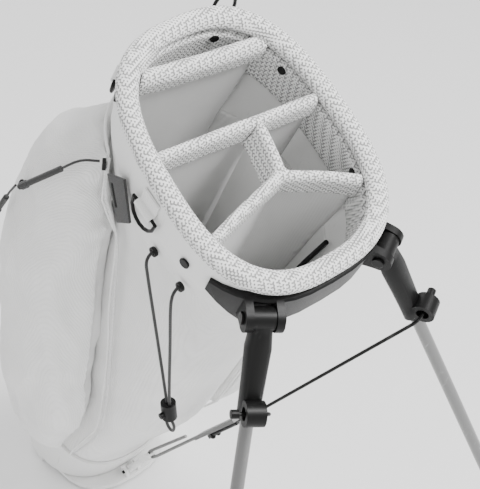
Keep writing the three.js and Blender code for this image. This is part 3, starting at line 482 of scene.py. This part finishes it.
def smooth_path(points, steps):
    """Catmull-Rom through the points, with that many short steps between two of them."""
    p = np.asarray(points)
    p = np.vstack([2 * p[0] - p[1], p, 2 * p[-1] - p[-2]])
    t = np.linspace(0, 1, steps, endpoint=False)[None, :, None]
    a, b, c, d = (p[k:len(p) - 3 + k, None, :] for k in range(4))
    square, cube = 2 * a - 5 * b + 4 * c - d, 3 * b - a - 3 * c + d
    curve = 0.5 * (2 * b + (c - a) * t + square * t ** 2 + cube * t ** 3)
    return np.vstack([curve.reshape(-1, 3), p[-2:-1]])


def line_piece(name, path, radius, closed=False):
    """A round cord along a path in the row frame, as a curve of one spline."""
    curve = bpy.data.curves.new(name, "CURVE")
    curve.dimensions = "3D"
    curve.bevel_depth = radius
    curve.bevel_resolution = 4
    curve.use_fill_caps = True
    spline = curve.splines.new("POLY")
    spline.points.add(len(path) - 1)
    spline.points.foreach_set("co", np.hstack([path, np.ones((len(path), 1))]).ravel())
    spline.use_cyclic_u = closed
    piece = bpy.data.objects.new(name, curve)
    scene.collection.objects.link(piece)
    return piece


def add_draw_cord():
    """The draw cord: out of the upper eyelet, down through its lock, round a short loop and back up."""
    strand, lock_forward, lock_down, lock_out = 3, 12, 196, 9
    end = lock_down + 22
    down, upward = lock_forward - strand, lock_forward + strand
    lower = LOWER_EYELET - UPPER_EYELET
    ahead, fall = lower @ AHEAD / MM, lower @ FALL / MM
    stops = [
        (-1, 0, 0), (5, 0, 1), (10.5, 0.5, 8), (11, 1, 26), (10, 4, 90), (9, down - 2, lock_down - 40),
        (lock_out, down, lock_down - 6), (lock_out, down, lock_down + 11), (lock_out, down, end + 1),
        (lock_out, lock_forward - 7, end + 9), (lock_out, lock_forward - 5, end + 17),
        (lock_out, lock_forward, end + 20), (lock_out, lock_forward + 5, end + 17),
        (lock_out, lock_forward + 7, end + 9), (lock_out, upward, end + 1),
        (lock_out, upward, lock_down + 11), (lock_out, upward, lock_down - 6),
        (9, upward + 4, lock_down - 40), (10, 28, 100),
        (11, ahead - 2, fall + 26), (9, ahead, fall + 8), (3.5, ahead, fall + 1), (-2.5, ahead, fall)]
    route = bag_place(smooth_path([cord_spot(*stop) for stop in stops], 8))
    piece = line_piece("draw_cord_finish", route, 1.75 * MM)
    dress(piece, "black_cord", "bag")
    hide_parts("draw_cord")
    lock, button = hard_piece("cord_lock", 0.0007), hard_piece("cord_lock_button", 0.0005)


add_draw_cord()


# ---------- soft top ----------
def oval(half_width, half_depth, exponent, turn):
    c, s = np.cos(turn), np.sin(turn)
    back = np.sign(s) * np.abs(s) ** (2 / exponent)
    return half_width * np.sign(c) * np.abs(c) ** (2 / exponent) * (1 - 0.04 * back), half_depth * back


def add_rim_pad():
    """The padded roll: a circle of 11 mm carried round the mouth's squared oval, drawn in at its seam."""
    turn = np.linspace(0, 2 * math.pi, 288, endpoint=False)[:, None]
    t = np.linspace(0, 2 * math.pi, 36, endpoint=False)[None, :]
    seam = 1.2 * np.exp(-((t - 5.6) / 0.16) ** 2) + 0.8 * np.exp(-((t - 3.6) / 0.16) ** 2)
    pucker = 0.25 * np.sin(60 * turn) * np.exp(-((t - 5.3) / 0.5) ** 2)
    radius = 11 - seam - 0.2 - pucker
    x, y = oval(107 + radius * np.cos(t), 139 + radius * np.cos(t), 2.7, turn)
    rows = np.stack([x, y, 855 + 0.13 * y + radius * np.sin(t)], -1) * MM
    piece = dress(grid_piece("rim_roll", bag_place(rows)), "mesh_knit", "bag")
    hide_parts("rim_pad")


def refined(node, longest, rounds=7):
    """A thin cloth wall with its long faces cut down until no edge is longer than longest."""
    piece = merged_copy(node + "_cloth", node)
    shape = bmesh.new()
    shape.from_mesh(piece.data)
    for _ in range(rounds):
        long_edges = [edge for edge in shape.edges if edge.calc_length() > longest]
        if not long_edges:
            break
        bmesh.ops.subdivide_edges(shape, edges=long_edges, cuts=1)
        bmesh.ops.triangulate(shape, faces=[face for face in shape.faces if len(face.verts) > 3])
    shape.to_mesh(piece.data)
    shape.free()
    return piece


def fade(value, low, high):
    t = np.clip((value - low) / (high - low), 0, 1)
    return t * t * (3 - 2 * t)


def add_shell():
    """The club tube's cloth: both faces of the wall move in and out together, so its thickness stays.
    Long folds run down the sides and short creases gather above the base."""
    piece = refined("bag_shell", 0.012)
    local = bag_view(vertices_of(piece.data))
    away = local * (1, 1, 0)
    away /= np.linalg.norm(away, axis=1, keepdims=True)
    calm = fade(local[:, 2], 0.115, 0.2) * (1 - fade(local[:, 2], 0.66, 0.72))
    long_folds = folds(local, 11, 0.2, (1, 1, 0.35))
    creases = folds(local, 12, 0.11, (0.5, 0.5, 1.4))
    shift = (1.9 * (long_folds - 1) + 1.2 * (creases - 1)) * calm * MM
    put_vertices(piece.data, bag_place(local + away * shift[:, None]))
    smooth(piece, 60)
    dress(piece, "white_fabric", "bag")
    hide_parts("bag_shell")


def add_cuff():
    """The padded lining of the mouth, with a few shallow puckers low on its wall."""
    piece = refined("cuff_padding", 0.010)
    local = bag_view(vertices_of(piece.data))
    away = local * (1, 1, 0)
    away /= np.linalg.norm(away, axis=1, keepdims=True)
    shift = (folds(local, 21, 0.09, (1, 1, 0.5)) - 1) * 0.8 * (1 - fade(local[:, 2], 0.80, 0.83)) * MM
    put_vertices(piece.data, bag_place(local + away * shift[:, None]))
    smooth(piece, 50)
    dress(piece, "mesh_knit", "bag")
    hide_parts("cuff_padding")


def add_divider(node, seed):
    """A padded divider bar: an even mesh over its core, rounded off, with slight unevenness in its cover."""
    piece = remeshed(merged_copy(node + "_cover", node), 0.0024)
    relax = piece.modifiers.new("relax", "SMOOTH")
    relax.iterations = 5
    relax.factor = 0.5
    applied(piece)
    creased(piece, seed, 0.04, 0.0005, (1, 1, 1))
    piece.data.polygons.foreach_set("use_smooth", np.ones(len(piece.data.polygons), bool))
    dress(piece, "mesh_knit", "bag")
    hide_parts(node)


def add_panel(node, seed):
    """A thin cloth that hangs under a divider: loose folds that grow towards its free lower edge."""
    piece = refined(node, 0.012)
    local = bag_view(vertices_of(piece.data))
    loose = 1 - fade(local[:, 2], 0.62, 0.82)
    wave = folds(local * (1, 0.2, 1), seed, 0.12, (1, 1, 0.3))
    local[:, 1] += 3.5 * MM * wave * loose
    put_vertices(piece.data, bag_place(local))
    smooth(piece, 60)
    dress(piece, "lining", "bag")
    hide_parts(node)


add_rim_pad()
add_shell()
add_cuff()
for place, bar in enumerate(("divider_back", "divider_middle", "divider_fork")):
    add_divider(bar, 31 + place)
add_panel("panel_back", 41)
add_panel("panel_middle", 42)
add_panel("panel_fork", 43)

soft_pocket("pocket_left", 51, 0.006, 0.0070, 0.012)
soft_pocket("pocket_right_upper", 61, 0.005, 0.0028, 0.006)
soft_pocket("pocket_right_lower", 71, 0.005, 0.0032, 0.007)


# ---------- seams ----------
BODY_STATIONS = np.array([  # height, half width, front, back of the club tube's plan, in millimetres
    [20, 84, -50, 112], [150, 88, -65, 118], [330, 89, -108, 121], [640, 92, -116, 124],
    [735, 99, -128, 130]])
COLLAR_BOTTOM = 743


def outside(height, turn, lift):
    """A point on the bag's side: the tube's oval below the collar, the rim's oval above, mixed over 50 mm."""
    half, front, back = (np.interp(height, BODY_STATIONS[:, 0], BODY_STATIONS[:, k]) for k in (1, 2, 3))
    low_x, low_y = oval(half + lift, (back - front) / 2 + lift, 2.4, turn)
    high_x, high_y = oval(112 + lift, 144 + lift, 2.7, turn)
    t = np.clip((height - COLLAR_BOTTOM + 60) / 50, 0, 1)
    y = low_y + (back + front) / 2 * (1 - t) + (high_y - low_y) * t
    return np.stack([low_x + (high_x - low_x) * t, y, height], -1) * MM


def add_piping(name, levels, lift=2.4, radius=1.5):
    """A corded seam round a pocket's edge; each level is its height and its two edges in degrees."""
    levels = np.array(levels, float)
    around = np.vstack([levels[:, [0, 1]], levels[::-1][:, [0, 2]]])
    around = np.vstack([around, around[:1]])
    step = np.arange(len(around))
    fine = np.linspace(0, len(around) - 1, 30 * len(around))
    heights, degrees = (np.interp(fine, step, around[:, k]) for k in (0, 1))
    path = bag_place(outside(heights, np.radians(degrees), lift))[:-1]
    dress(line_piece(name, path, radius * MM, closed=True), "white_fabric", "bag")


add_piping("pocket_left_piping", [
    (128, 106, 204), (150, 104, 204), (270, 102, 203), (335, 101, 196), (420, 101, 189), (600, 101, 173),
    (690, 103, 165), (750, 106, 158), (796, 112, 152)])
add_piping("pocket_right_lower_piping", [
    (262, -56, 58), (285, -60, 60), (335, -61, 61), (390, -62, 62), (470, -60, 60), (498, -56, 56)])


def add_stitches(name, spots, size, body="bag"):
    """A row of short thread stitches: one low six-sided stick for every second gap between the spots."""
    starts, ends = spots[:-1:2], spots[1::2]
    count = min(len(starts), len(ends))
    starts, ends = starts[:count], ends[:count]
    run = ends - starts
    run /= np.linalg.norm(run, axis=1, keepdims=True)
    side = np.cross(run, np.array([0.3, 0.2, 1.0]))
    side /= np.linalg.norm(side, axis=1, keepdims=True)
    lift = np.cross(side, run)
    turn = np.linspace(0, 2 * math.pi, 6, endpoint=False)
    ring = side[:, None] * np.cos(turn)[None, :, None] + lift[:, None] * np.sin(turn)[None, :, None]
    low, high = starts[:, None] + ring * size, ends[:, None] + ring * size
    points = np.concatenate([low, high], 1).reshape(-1, 3)
    k = np.arange(6)
    walls = np.stack([k, (k + 1) % 6, (k + 1) % 6 + 6, k + 6], -1)
    base = (12 * np.arange(count))[:, None, None]
    faces = (walls[None] + base).reshape(-1, 4).tolist()
    faces += (np.arange(5, -1, -1)[None] + 12 * np.arange(count)[:, None]).tolist()
    faces += (np.arange(6, 12)[None] + 12 * np.arange(count)[:, None]).tolist()
    mesh = bpy.data.meshes.new(name)
    mesh.from_pydata(points.tolist(), [], faces)
    piece = bpy.data.objects.new(name, mesh)
    scene.collection.objects.link(piece)
    dress(piece, "zipper", body)


def rim_stitches():
    """Stitches along the seam under the roll's outer side."""
    turn = np.linspace(0, 2 * math.pi, 420)
    x, y = oval(107 + 10.2 * math.cos(5.6), 139 + 10.2 * math.cos(5.6), 2.7, turn)
    return bag_place(np.stack([x, y, 855 + 0.13 * y + 10.2 * math.sin(5.6)], -1) * MM)


add_stitches("rim_seam_stitches", rim_stitches(), 0.0005)

# ---------- hard parts ----------
SOFT_NODES = {
    "bag_shell", "cuff_padding", "rim_pad", "divider_back", "divider_middle", "divider_fork",
    "panel_back", "panel_middle", "panel_fork", "pocket_left", "pocket_right_upper", "pocket_right_lower",
    "draw_cord", "cord_lock", "cord_lock_button"}
FINE_EDGES = {"boot": 0.0015, "top_collar": 0.0012, "leg_head_left": 0.0011, "leg_head_right": 0.0011,
              "leg_bracket": 0.0012, "foot_plate": 0.001, "leg_foot_left": 0.001, "leg_foot_right": 0.001}
for part in sorted(set(SLOT_OF) - SOFT_NODES):
    hard_piece(part, FINE_EDGES.get(part, 0.0004))


# ---------- floor and light ----------
def add_stage():
    bpy.ops.mesh.primitive_plane_add(size=12, location=(0, 0, 0))
    floor = bpy.context.object
    floor.name = "floor"
    pale = bpy.data.materials.new("pale_floor")
    pale.use_nodes = True
    shader = pale.node_tree.nodes["Principled BSDF"]
    shader.inputs["Base Color"].default_value = (0.9, 0.9, 0.9, 1)
    shader.inputs["Roughness"].default_value = 0.8
    floor.data.materials.append(pale)
    world = bpy.data.worlds.new("studio")
    world.use_nodes = True
    world.node_tree.nodes["Background"].inputs["Color"].default_value = (1, 1, 1, 1)
    world.node_tree.nodes["Background"].inputs["Strength"].default_value = 0.85
    scene.world = world


def add_light(name, spot, size, power):
    light = bpy.data.lights.new(name, "AREA")
    light.size = size
    light.energy = power
    made = bpy.data.objects.new(name, light)
    made.location = spot
    made.rotation_euler = (Vector((0, 0, 0.45)) - Vector(spot)).to_track_quat("-Z", "Y").to_euler()
    scene.collection.objects.link(made)


add_stage()
add_light("key_light", (0.9, -1.6, 2.6), 1.0, 120)
add_light("fill_light", (-2.2, -0.8, 1.6), 2.0, 18)
add_light("back_light", (0.4, 2.0, 2.2), 1.6, 30)
